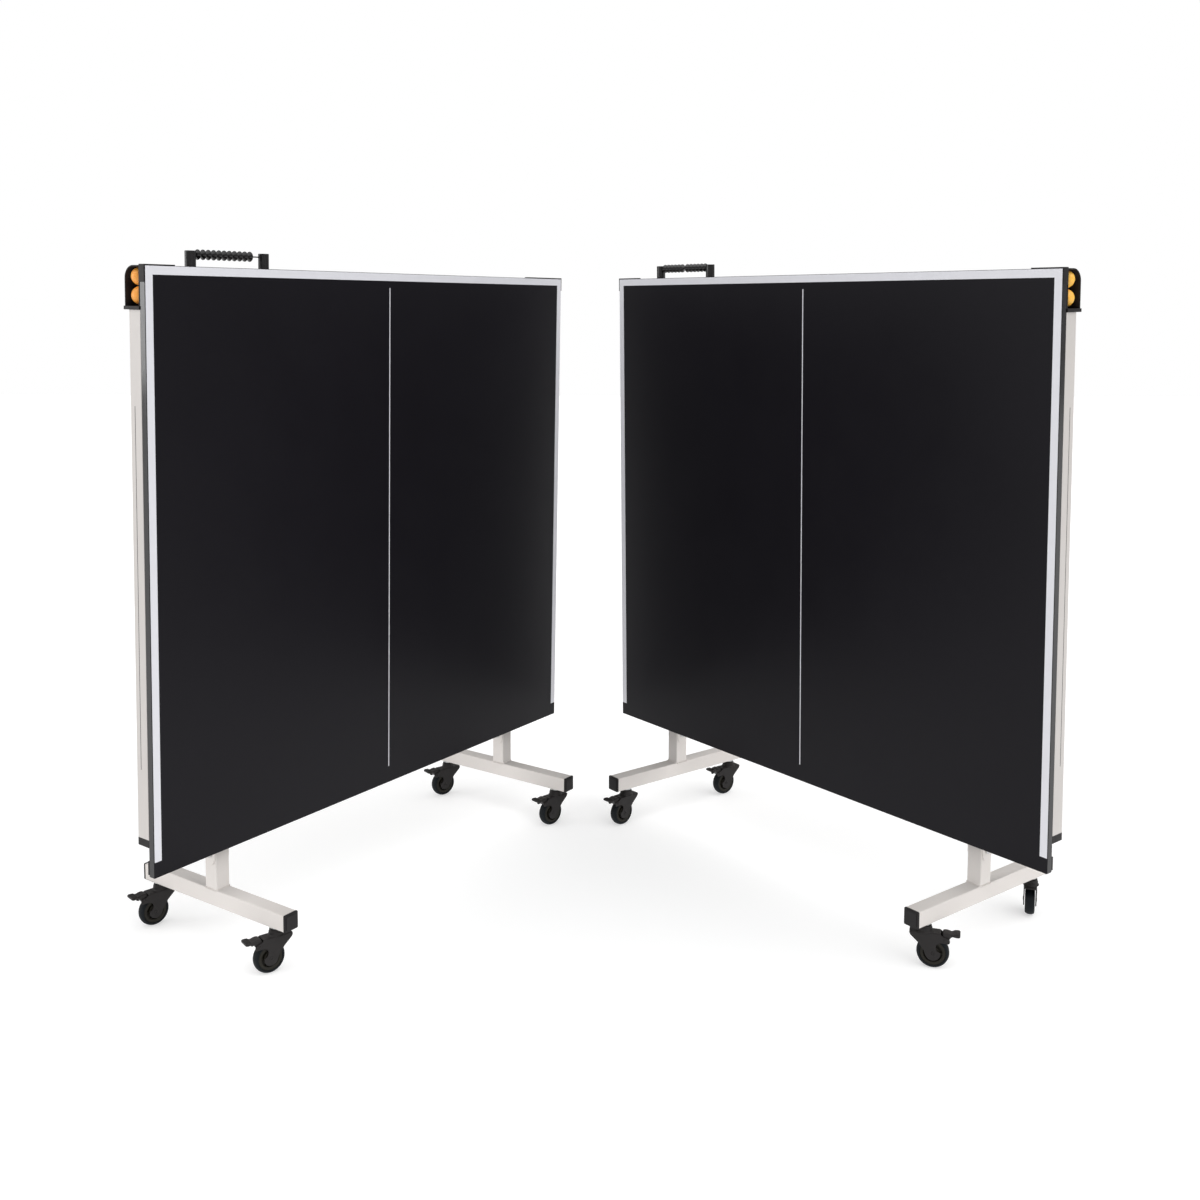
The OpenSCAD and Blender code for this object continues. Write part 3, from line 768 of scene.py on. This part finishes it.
class PINGPONG_OT_tubes(bpy.types.Operator):
    """Makes the steel tubes of both halves: feet, posts, crossbars, legs and rails"""

    bl_idname = "pingpong.tubes"
    bl_label = "Steel Tubes"

    def execute(self, context):
        tubes = context.scene.pingpong_tubes
        rows = (("t_legs", "trolley", "trolley_tubes", "frame", "frame_coat", 1.0),
                ("crossbars", "trolley", "trolley_crossbars", "frame", "frame_coat", 0.25),
                ("play_legs", "leg_frame", "leg_tubes", "frame", "frame_coat", 0.8),
                ("leg_crossbar", "leg_frame", "leg_bar", "frame", "frame_coat", 0.8),
                ("rails", "top", "top_rails", "rail", "rail_coat", 0.5))
        for side in HALVES:
            for node, body, name, look, slot, share in rows:
                refined(side, name, node, tubes.edge, look, body, slot, tubes.corner * share)
        return {"FINISHED"}


class PINGPONG_OT_welds(bpy.types.Operator):
    """Lays weld beads where the tubes of the trolley and the leg frame meet"""

    bl_idname = "pingpong.welds"
    bl_label = "Welds"

    # how far a bead stops short of a corner, lies off a foot's side and lies within a face
    short, proud, sunk = 1.0, 0.3, 0.2

    def execute(self, context):
        for side in HALVES:
            half = Half(side)
            low, high = box_in("t_legs_" + side, half.stand)
            cap_low, cap_high = box_in("foot_caps_" + side, half.stand)
            bar_low, bar_high = box_in("leg_crossbar_" + side, half.legs)
            tube = cap_high.z - cap_low.z
            wall = tube / 2
            z = low.z + tube
            seams = []
            for s in SIDES:
                x = s * (high.x - wall)
                for y in (-wall - self.proud, wall + self.proud):
                    seams.append([(x - wall + self.short, y, z), (x + wall - self.short, y, z)])
                for side_x in (x - wall + self.sunk, x + wall - self.sunk):
                    seams.append([(side_x, self.short - wall, z), (side_x, wall - self.short, z)])
            welds("trolley_welds_" + side, seams, half.stand, "trolley_" + side)
            seams = []
            for s in SIDES:
                x = s * (bar_high.x - wall)
                reach = wall - 2 * self.short
                for z in (bar_low.z, bar_high.z):
                    seams.append([(x - reach, bar_low.y, z), (x + reach, bar_low.y, z)])
            welds("leg_welds_" + side, seams, half.legs, "leg_frame_" + side, seed=5)
        return {"FINISHED"}


class PINGPONG_OT_caps(bpy.types.Operator):
    """Makes the black end caps of the feet and the levelling feet of the legs"""

    bl_idname = "pingpong.caps"
    bl_label = "End Caps and Leg Feet"

    # depth of a cap over its tube
    depth = 6.0
    # a plate and its raised field: growth, start, corner radius, steps, edge radius
    layers = ((0.6, 1.2, 3.2, 4, 0.8), (-4.0, 0.0, 2.0, 3, 0.5))

    def execute(self, context):
        for side in HALVES:
            half = Half(side)
            low, high = box_in("foot_caps_" + side, half.stand)
            wall = (high.z - low.z) / 2
            middle = (high.z + low.z) / 2
            parts = []
            for s in SIDES:
                for e in SIDES:
                    x = s * (high.x - wall)
                    for grown_by, start, corner, steps, edge in self.layers:
                        out = wall + grown_by
                        part = slab((x - out, e * (high.y - start), middle - out),
                                    (x + out, e * (high.y - self.depth), middle + out))
                        rounded(part, corner, steps, pick=long_edge)
                        rounded(part, edge)
                        parts.append(part)
            settled("foot_end_caps_" + side, joined(parts), finish("plastic"), "trolley_" + side,
                    "black_plastic", half.stand, ["foot_caps_" + side])
            refined(side, "leg_end_feet", "leg_feet", 0.0008, "plastic", "leg_frame",
                    "foot_rubber")
        return {"FINISHED"}


class PINGPONG_OT_hinges(bpy.types.Operator):
    """Makes the hinge brackets, link bars, bolts and fixing screws"""

    bl_idname = "pingpong.hinges"
    bl_label = "Hinges and Links"

    # distance of the posts and of the play legs from the middle of a half
    post_reach, leg_reach = 550.0, 480.0
    # places of the four screws about a bracket's pin, and the thickness they go through
    along, across = 30.0, 12.0
    plate = 3.2

    def execute(self, context):
        rows = (("hinge_brackets", "top_brackets", 0.0006, "rail", "top", "rail_coat"),
                ("links", "link_bars", 0.0007, "steel", "links", "link_steel"),
                ("trolley_fixings", "trolley_bolts", 0.0005, "zinc", "trolley", "bolt_steel"),
                ("leg_frame_fixings", "leg_bolts", 0.0005, "zinc", "leg_frame", "bolt_steel"))
        for side in HALVES:
            for row in rows:
                refined(side, *row)
            self.add_screws(Half(side))
        return {"FINISHED"}

    def add_screws(self, half):
        """Screws through the brackets' plates and the rails into the board."""
        inverse = half.top.inverted()
        face = -half.board_t - self.plate
        spots = []
        for reach, pin in ((self.post_reach, "top_tilt_"), (self.leg_reach, "leg_fold_")):
            y = (inverse @ Vector(joint(pin + half.side)["pos_m"])).y / MM
            for s in SIDES:
                for e in SIDES:
                    spots += [((s * reach + d * self.across, y + e * self.along, face), (0, 0, -1))
                              for d in SIDES]
        screws("bracket_screws_" + half.side, spots, half.top, "top_" + half.side)


class PINGPONG_OT_board(bpy.types.Operator):
    """Makes the board and paints its lines"""

    bl_idname = "pingpong.board"
    bl_label = "Board and Lines"

    def execute(self, context):
        sizes = context.scene.pingpong_top
        line, thin, stop = (size / MM for size in (sizes.line, sizes.centre_line, sizes.line_stop))
        rim = sizes.board_edge / MM
        layers = (-0.02, sizes.paint / MM)
        for side in HALVES:
            half = Half(side)
            refined(side, "playing_board", "board", sizes.board_edge, "board", "top",
                    "board_charcoal")
            self.add_bands(half, sizes.band / MM, rim)
            u, end = half.edge_u, half.top_l
            outline = [(rim - u, stop), (line - u, stop), (line - u, end - line),
                       (u - line, end - line), (u - line, stop), (u - rim, stop),
                       (u - rim, end - rim), (rim - u, end - rim)]
            border = lofted([[(x, y, z) for x, y in outline] for z in layers])
            middle = slab((-thin / 2, sizes.centre_start / MM, layers[0]),
                          (thin / 2, end - sizes.centre_end / MM, layers[1]))
            settled("white_lines_" + side, joined([border, middle]), finish("line"),
                    "top_" + side, "board_charcoal", half.top)
        return {"FINISHED"}

    def add_bands(self, half, skin, rim):
        """Shiny bands that seal the two long edges of the board."""
        bands = [slab((s * (half.edge_u - skin), rim, rim - half.board_t),
                      (s * (half.edge_u + skin), half.top_l - rim, -rim), 0.4 * skin, 1)
                 for s in SIDES]
        settled("edge_bands_" + half.side, joined(bands), finish("edge"), "top_" + half.side,
                "board_charcoal", half.top)


class PINGPONG_OT_trim(bpy.types.Operator):
    """Makes the corner pads, the rail stripes and the ball holders with their balls"""

    bl_idname = "pingpong.trim"
    bl_label = "Corner Pads, Stripes and Ball Holders"

    # how far a stripe stands over its rail and reaches into it
    proud, sunk = 0.12, 0.3
    # share of a ball's radius that its seam is deep, and its angle in radians
    seam_depth, seam_width = 0.0035, 0.025

    def execute(self, context):
        sizes = context.scene.pingpong_top
        for side in HALVES:
            half = Half(side)
            refined(side, "corner_pads", "corner_fittings", 0.0007, "plastic", "top",
                    "black_plastic")
            refined(side, "ball_cups", "ball_holders", 0.0008, "plastic", "top", "black_plastic")
            _, high = box_in("rails_" + side, half.top)
            depth = -half.board_t - sizes.stripe_depth / MM
            width = sizes.stripe / MM
            stripes = [slab((s * (high.x + self.proud), sizes.stripe_start / MM, depth - width / 2),
                            (s * (high.x - self.sunk), sizes.stripe_end / MM, depth + width / 2),
                            0.05, 1) for s in SIDES]
            settled("rail_stripes_" + side, joined(stripes), finish("plastic"), "top_" + side,
                    "black_plastic", half.top)
            self.add_balls(half)
        return {"FINISHED"}

    def add_balls(self, half):
        """Two balls in each holder: a fine seam runs round each one."""
        low, high = box_in("balls_" + half.side, half.top)
        radius = (high.z - low.z) / 2
        steps = 48
        profile = []
        for i in range(steps + 1):
            a = math.pi * (i / steps - 0.5)
            r = radius * (1 - self.seam_depth * math.exp(-((a / self.seam_width) ** 2)))
            profile.append((r * math.cos(a) if 0 < i < steps else 0.0, r * math.sin(a)))
        parts = []
        for s in SIDES:
            for y, tip in ((high.y - radius, 0.4), (low.y + radius, 1.3)):
                turn = Matrix.Rotation(tip, 4, "X") @ Matrix.Rotation(tip * s, 4, "Y")
                spot = (s * (high.x - radius), y, (high.z + low.z) / 2)
                parts.append(moved(lathe(profile, 64), spot, turn))
        # the right half's balls take the lighter, yellower copy of the orange: painted light of the
        # brightly lit right half
        look = finish("ball" if half.side == "left" else "ball_yellow")
        settled("playing_balls_" + half.side, joined(parts), look, "top_" + half.side,
                "ball_orange", half.top, ["balls_" + half.side])


class PINGPONG_OT_scorer(bpy.types.Operator):
    """Makes the scorer posts, the wire and the beads"""

    bl_idname = "pingpong.scorer"
    bl_label = "Bead Scorer"

    # nearest length of a bead: a row holds a whole number of them
    bead_length = 15.2

    def execute(self, context):
        sizes = context.scene.pingpong_scorer
        for side in HALVES:
            refined(side, "scorer_stand", "scorer_posts", sizes.post_edge, "scorer", "top",
                    "scorer_black")
            for row in ("", "far_") if side == "right" else ("",):
                self.add_beads(Half(side), f"{row}beads_{side}", f"{row}bead_row_{side}",
                               sizes.bead_steps)
        return {"FINISHED"}

    def add_beads(self, half, node, body, steps):
        """A row of double-cone beads on the wire."""
        low, high = box_in(node, half.top)
        radius = (high.z - low.z) / 2
        count = round((high.x - low.x) / self.bead_length)
        pitch = (high.x - low.x) / count
        flank = [(1.6, 0.0), (0.26 * radius, 0.01), (0.31 * radius, 0.05), (0.60 * radius, 0.24),
                 (0.90 * radius, 0.42), (0.975 * radius, 0.465)]
        shares = flank + [(radius, 0.5)] + [(r, 1 - share) for r, share in reversed(flank)]
        bead = lathe([(r, share * pitch) for r, share in shares], steps, closed=True)
        start = half.top @ (Vector((low.x, (low.y + high.y) / 2, (low.z + high.z) / 2)) * MM)
        step = half.top.to_3x3() @ Vector((pitch * MM, 0, 0))
        grown("scorer_" + node, bpy.data.meshes.new(node), tree_named("Beads in a Row", row_tree),
              ("Bead", bead), "scorer", {"Count": count, "Start": start, "Step": step},
              body, "scorer_black", [node])


class PINGPONG_OT_casters(bpy.types.Operator):
    """Makes the eight braked casters: fork, bearing cup, wheel, rim, axle and pedal"""

    bl_idname = "pingpong.casters"
    bl_label = "Casters"

    # thickness of the fork's plate, room beside the wheel, height of the bearing cup
    plate, room, cup = 2.5, 1.5, 15.0

    def execute(self, context):
        sizes = context.scene.pingpong_casters
        for side in HALVES:
            for number in CASTERS:
                self.add_caster(f"{side}_{number}", sizes)
        return {"FINISHED"}

    def add_caster(self, name, sizes):
        """One caster at its own place."""
        place, trail, axle_z = caster_place(name)
        _, high = box_in("fork_" + name, place)
        wheel_low, wheel_high = box_in("wheel_" + name, place)
        half_w = (wheel_high.y - wheel_low.y) / 2
        radius = (wheel_high.z - wheel_low.z) / 2
        outer = half_w + self.room + self.plate
        head = high.z - self.cup
        pin = (trail + 28.0, axle_z + 35.5)
        hub = (trail, 0, axle_z)
        turn = Matrix.Rotation(math.pi / 2, 4, "X")
        tyre, rim = self.wheel(radius, half_w, sizes.steps)
        fork_body, wheel_body = "caster_fork_" + name, "caster_wheel_" + name
        settled("swivel_fork_" + name, self.fork(trail, axle_z, outer, head, high.z, pin, sizes),
                finish("fork"), fork_body, "caster_black", place, ["fork_" + name])
        settled("axle_" + name, self.axle(trail, axle_z, outer), finish("fork"), fork_body,
                "bolt_steel", place)
        settled("tyre_" + name, moved(tyre, hub, turn), finish("tyre"), wheel_body,
                "tyre_rubber", place, ["wheel_" + name])
        settled("rim_" + name, moved(rim, hub, turn), finish("rim"), wheel_body, "tyre_rubber",
                place, sharp=30.0)
        settled("pedal_" + name, self.pedal(pin, half_w + 1.0, sizes.ribs), finish("fork"),
                "caster_brake_" + name, "pedal_black", place, ["brake_" + name])

    def heads(self, profile, steps, x, z, outer):
        """A turned head on the outside of each cheek."""
        return [moved(lathe(profile, steps), (x, s * outer, z),
                      Matrix.Rotation(-s * math.pi / 2, 4, "X")) for s in SIDES]

    def fork(self, trail, axle_z, outer, head, cup_top, pin, sizes):
        """Pressed fork: two cheeks and a bridge bent from one plate, under a bearing cup."""
        front = [(-34.0, head), (-34.0, head - 4.0), (-31.5, head - 9.5), (-13.0, 60.0), (0.5, 41.5)]
        hub = arc(trail, axle_z, 17.0, 195, 374, 18)
        notch = arc(trail + 18.9, axle_z + 15.5, 12.0, 252, 90, 12)
        arm = [(trail + x, axle_z + z) for x, z in ((34.0, 27.0), (37.0, 28.5), (38.4, 32.5),
                                                    (37.6, 37.5), (32.0, 40.5))]
        neck = [(trail + 23.0, head - 6.0), (trail + 17.0, head - 2.0), (trail + 15.0, head)]
        outline = front + hub + notch + arm + neck
        blank = lofted([[(x, y, z) for x, z in outline] for y in (-outer, outer)])
        inside = outer - self.plate
        shell = cut(blank, slab((-200, -inside, -50), (200, inside, head - self.plate)))
        crest = lambda e: all(v.co.z > head - 0.01 and abs(v.co.y) > outer - 0.01
                              for v in e.verts) and not long_edge(e)
        rounded(shell, sizes.plate_bend / MM, 4, pick=crest)
        rounded(shell, sizes.plate_edge / MM)
        cup = lathe([(0, cup_top), (14.0, cup_top), (15.8, cup_top - 0.7), (16.4, cup_top - 2.4),
                     (16.4, cup_top - 5.0), (17.4, cup_top - 5.8), (17.9, cup_top - 7.0),
                     (17.9, head + 4.4), (18.6, head + 2.0), (20.4, head + 0.2), (20.4, head - 0.6),
                     (0, head - 0.6)], 64)
        rivet = [(0, 1.6), (1.8, 1.5), (3.0, 0.8), (3.4, 0), (3.4, -1), (0, -1)]
        return joined([shell, cup] + self.heads(rivet, 24, *pin, outer))

    def axle(self, trail, axle_z, outer):
        """Hollow axle rivet with its rolled rim at both cheeks."""
        rolled = [(0, -1.0), (2.3, -1.0), (2.6, 0.4), (3.4, 1.0), (4.4, 0.8), (4.9, 0.2),
                  (4.9, -0.6), (0, -1.4)]
        return joined(self.heads(rolled, 32, trail, axle_z, outer))

    def wheel(self, radius, half_w, steps):
        """Rubber tyre over a moulded rim with a deep groove round its hub."""
        w, r = half_w, radius
        tread = mirrored([(share * r, inset - w) for share, inset in
                          ((0.77, 3.0), (0.79, 1.2), (0.83, 0.2), (0.88, 0.5), (0.935, 2.2),
                           (0.972, 5.0), (0.993, 8.2), (1.0, w - 1.0))])
        body = mirrored([(4.2, 0.6 - w)] + [(share * r, inset - w) for share, inset in
                                            ((0.36, 0.6), (0.40, 1.0), (0.42, 2.0), (0.43, 7.5),
                                             (0.55, 7.5), (0.565, 2.2), (0.60, 1.3),
                                             (0.76, 1.3), (0.785, 1.9))])
        ribs = []
        for i in range(6):
            rib = slab((0.42 * r, -0.8, 3.6 - w), (0.57 * r, 0.8, w - 3.6), 0.3, 1)
            ribs.append(moved(rib, (0, 0, 0), Matrix.Rotation(i * math.pi / 3, 4, "Z")))
        return lathe(tread, steps, closed=True), joined([lathe(body, steps, closed=True)] + ribs)

    def pedal(self, pin, inner, ribs):
        """Brake pedal: a shaped cover over the arm with a flared toe and grip ribs."""
        # distance from the pin, share of the width, underside, top
        stations = ((-6.6, 0.90, 0.0, 12.5), (-5.6, 0.98, -2.5, 14.6), (-2.5, 1.0, -5.6, 15.8),
                    (0.0, 1.0, -6.3, 16.2), (4.5, 1.0, -4.8, 15.9), (8.5, 1.0, 0.4, 15.0),
                    (12.0, 0.94, 5.6, 14.2), (15.5, 0.98, 8.2, 14.0), (18.5, 1.14, 8.8, 15.0),
                    (22.0, 1.24, 8.7, 15.8), (27.0, 1.27, 8.7, 16.1), (30.5, 1.22, 9.0, 15.9),
                    (32.4, 1.10, 9.9, 15.2), (33.0, 0.95, 11.0, 14.2))
        pin_x, pin_z = pin
        rings = []
        for along, share, under, over in stations:
            corner = min(3.2, (over - under) * 0.42)
            y = inner * share - corner
            low, high = pin_z + under + corner, pin_z + over - corner
            ring = []
            for n, (cy, cz) in enumerate(((y, high), (-y, high), (-y, low), (y, low))):
                ring += [(pin_x + along, a, b)
                         for a, b in arc(cy, cz, corner, 90 * n, 90 * n + 90, 5)]
            rings.append(ring)
        parts = [lofted(rings)]
        first, pitch, half_rib, reach = pin_x + 20.5, 3.2, 0.6, inner * 0.95
        for i in range(ribs):
            x = first + i * pitch
            parts.append(slab((x - half_rib, -reach, pin_z + 14.6), (x + half_rib, reach, pin_z + 16.7),
                              0.45))
        return joined(parts)


class PINGPONG_OT_stage(bpy.types.Operator):
    """Lays the pale floor, hangs the soft lights and sets the camera"""

    bl_idname = "pingpong.stage"
    bl_label = "Floor, Lights and Camera"

    def execute(self, context):
        stage = context.scene.pingpong_stage
        self.lay_floor(stage)
        self.light_room(context.scene, stage)
        lens = bpy.data.cameras.new("camera")
        lens.lens = stage.lens
        lens.sensor_width = 36.0
        lens.shift_x, lens.shift_y = stage.shift
        lens.clip_start, lens.clip_end = 0.05, 200.0
        camera = shown("camera", lens)
        camera.matrix_world = (Matrix.Translation(Vector(stage.camera))
                               @ Matrix.Rotation(-stage.heading, 4, "Z")
                               @ Matrix.Rotation(math.pi / 2 - stage.pitch, 4, "X")
                               @ Matrix.Rotation(stage.roll, 4, "Z"))
        context.scene.camera = camera
        context.scene.view_settings.view_transform = "Standard"
        return {"FINISHED"}

    def lay_floor(self, stage):
        """A wide pale floor with the faintest cloud in its tone."""
        half = stage.floor / 2
        mesh = bpy.data.meshes.new("floor")
        corners = [(-half, -half, 0), (half, -half, 0), (half, half, 0), (-half, half, 0)]
        mesh.from_pydata(corners, [], [(0, 1, 2, 3)])
        floor = shown("floor", mesh)
        f = Finish("floor", 0.8, specular=0.2)
        f.link(f.tinted(f.noise(0.7, 2.0), tuple(stage.floor_colour), 0.99, 1.01), "Base Color")
        f.shader.inputs["Emission Color"].default_value = (1, 1, 1, 1)
        f.shader.inputs["Emission Strength"].default_value = stage.floor_glow
        mesh.materials.append(f.material)

    def light_room(self, scene, stage):
        """A pale room with two soft lights and a light panel on the left."""
        world = bpy.data.worlds.new("room")
        world.use_nodes = True
        nodes, links = world.node_tree.nodes, world.node_tree.links
        room, seen = nodes["Background"], nodes.new("ShaderNodeBackground")
        for shade in (room, seen):
            shade.inputs["Color"].default_value = (1, 1, 1, 1)
        room.inputs["Strength"].default_value = stage.sky
        path = nodes.new("ShaderNodeLightPath")
        pick = nodes.new("ShaderNodeMixShader")
        links.new(path.outputs["Is Camera Ray"], pick.inputs[0])
        links.new(room.outputs[0], pick.inputs[1])
        links.new(seen.outputs[0], pick.inputs[2])
        links.new(pick.outputs[0], nodes["World Output"].inputs["Surface"])
        scene.world = world
        for name, spot, strength in (("key", (3.6, -2.3, 6.0), stage.key),
                                     ("left", (-4.6, -2.0, 5.0), stage.left)):
            sun = bpy.data.lights.new(name, "SUN")
            sun.energy = strength
            sun.angle = stage.key_spread
            self.hang(sun, spot, (0.0, 0.0, 0.0))
        panel = bpy.data.lights.new("side_panel", "AREA")
        panel.shape = "RECTANGLE"
        panel.size, panel.size_y = 1.0, 1.2
        panel.energy = stage.fill
        self.hang(panel, (-4.0, -0.6, 1.80), (-1.0, -0.6, 1.50))

    def hang(self, lamp, spot, target):
        """A light at a spot, aimed at a target."""
        obj = shown(lamp.name, lamp)
        aim = (Vector(target) - Vector(spot)).to_track_quat("-Z", "Y")
        obj.matrix_world = Matrix.Translation(Vector(spot)) @ aim.to_matrix().to_4x4()


class PINGPONG_PT_panel(bpy.types.Panel):
    """Sidebar panel with the table's pieces"""

    bl_idname = "PINGPONG_PT_panel"
    bl_label = "Ping Pong Table"
    bl_space_type = "VIEW_3D"
    bl_region_type = "UI"
    bl_category = "Ping Pong Table"

    def draw(self, context):
        layout = self.layout
        for operator in OPERATORS:
            layout.operator(operator.bl_idname)
        for group in GROUPS:
            box = layout.box()
            settings = getattr(context.scene, group)
            for prop in GROUPS[group].__annotations__:
                box.prop(settings, prop)


GROUPS = {
    "pingpong_top": TopSizes,
    "pingpong_tubes": TubeSizes,
    "pingpong_casters": CasterSizes,
    "pingpong_scorer": ScorerSizes,
    "pingpong_colours": Colours,
    "pingpong_stage": StageSizes,
}
OPERATORS = (
    PINGPONG_OT_tubes,
    PINGPONG_OT_welds,
    PINGPONG_OT_caps,
    PINGPONG_OT_hinges,
    PINGPONG_OT_board,
    PINGPONG_OT_trim,
    PINGPONG_OT_scorer,
    PINGPONG_OT_casters,
    PINGPONG_OT_stage,
)


def register():
    """Registers the settings, the operators and the panel."""
    for group in GROUPS.values():
        bpy.utils.register_class(group)
    for name, group in GROUPS.items():
        setattr(bpy.types.Scene, name, PointerProperty(type=group))
    for cls in OPERATORS + (PINGPONG_PT_panel,):
        bpy.utils.register_class(cls)


def unregister():
    """Takes everything out again."""
    for cls in (PINGPONG_PT_panel,) + OPERATORS[::-1]:
        bpy.utils.unregister_class(cls)
    for name in GROUPS:
        delattr(bpy.types.Scene, name)
    for group in reversed(list(GROUPS.values())):
        bpy.utils.unregister_class(group)


def main():
    """Builds every piece in order."""
    register()
    for operator in OPERATORS:
        family, name = operator.bl_idname.split(".")
        getattr(getattr(bpy.ops, family), name)()


if __name__ == "__main__":
    main()
